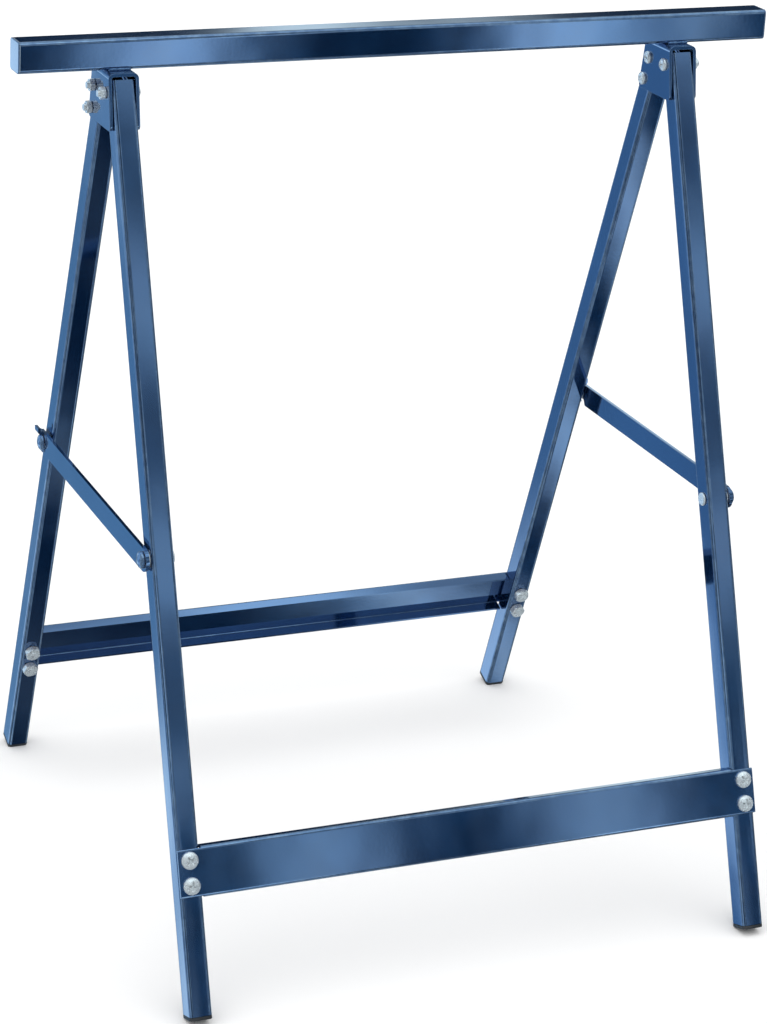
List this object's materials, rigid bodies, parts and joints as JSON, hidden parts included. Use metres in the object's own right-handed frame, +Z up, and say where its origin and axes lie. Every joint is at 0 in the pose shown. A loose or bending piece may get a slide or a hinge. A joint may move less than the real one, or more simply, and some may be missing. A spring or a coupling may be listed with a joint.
{
  "type": "folding sawhorse",
  "caption": "Folding steel sawhorse: a square-tube work beam on two pairs of splayed tube legs, joined by channel rails and by hooked side braces that lift off so the front frame folds back.",
  "frame": {"origin": "on the floor, midway between the four feet, under the middle of the beam", "axes": "+Z up, X along the beam, -Y towards the front frame that folds"},
  "size_m": [0.7, 0.572, 0.781],
  "materials": {
    "blue_enamel": "glossy metallic blue enamel",
    "bright_zinc": "bright zinc plate",
    "black_plastic": "moulded, slightly grained"
  },
  "bodies": {
    "stand": {"back_leg_left": "blue_enamel", "back_leg_right": "blue_enamel", "back_rail": "blue_enamel", "back_rail_nut_left_lower": "bright_zinc", "back_rail_nut_left_upper": "bright_zinc", "back_rail_nut_right_lower": "bright_zinc", "back_rail_nut_right_upper": "bright_zinc", "back_rail_screw_left_lower": "bright_zinc", "back_rail_screw_left_upper": "bright_zinc", "back_rail_screw_right_lower": "bright_zinc", "back_rail_screw_right_upper": "bright_zinc", "beam_end_plate_left": "blue_enamel", "beam_end_plate_right": "blue_enamel", "foot_plug_back_left": "black_plastic", "foot_plug_back_right": "black_plastic", "head_bolt_left_front": "bright_zinc", "head_bolt_left_lower": "bright_zinc", "head_bolt_left_upper": "bright_zinc", "head_bolt_right_front": "bright_zinc", "head_bolt_right_lower": "bright_zinc", "head_bolt_right_upper": "bright_zinc", "head_bracket_left": "blue_enamel", "head_bracket_right": "blue_enamel", "head_nut_left_front": "bright_zinc", "head_nut_left_lower": "bright_zinc", "head_nut_left_upper": "bright_zinc", "head_nut_right_front": "bright_zinc", "head_nut_right_lower": "bright_zinc", "head_nut_right_upper": "bright_zinc", "hook_stud_left": "bright_zinc", "hook_stud_right": "bright_zinc", "top_beam": "blue_enamel"},
    "front_frame": {"brace_rivet_left": "bright_zinc", "brace_rivet_right": "bright_zinc", "brace_washer_left": "bright_zinc", "brace_washer_right": "bright_zinc", "foot_plug_front_left": "black_plastic", "foot_plug_front_right": "black_plastic", "front_leg_left": "blue_enamel", "front_leg_right": "blue_enamel", "front_rail": "blue_enamel", "front_rail_nut_left_lower": "bright_zinc", "front_rail_nut_left_upper": "bright_zinc", "front_rail_nut_right_lower": "bright_zinc", "front_rail_nut_right_upper": "bright_zinc", "front_rail_screw_left_lower": "bright_zinc", "front_rail_screw_left_upper": "bright_zinc", "front_rail_screw_right_lower": "bright_zinc", "front_rail_screw_right_upper": "bright_zinc"},
    "brace_left": {"brace_left": "blue_enamel"},
    "brace_right": {"brace_right": "blue_enamel"}
  },
  "joints": [
    {"name": "front_frame_fold", "type": "hinge", "parent": "stand", "child": "front_frame", "pos_m": [0, -0.0149, 0.736], "axis": [1, 0, 0], "range_deg": [0, 38]},
    {"name": "brace_left_swing", "type": "hinge", "parent": "front_frame", "child": "brace_left", "pos_m": [-0.2753, -0.14589, 0.36813], "axis": [1, 0, 0], "range_deg": [0, 70.4]},
    {"name": "brace_right_swing", "type": "hinge", "parent": "front_frame", "child": "brace_right", "pos_m": [0.2753, -0.14589, 0.36813], "axis": [1, 0, 0], "range_deg": [0, 70.4]}
  ],
  "couplings": [
    {"joint": "brace_left_swing", "follows": "front_frame_fold", "ratio": 1.8526},
    {"joint": "brace_right_swing", "follows": "front_frame_fold", "ratio": 1.8526}
  ]
}
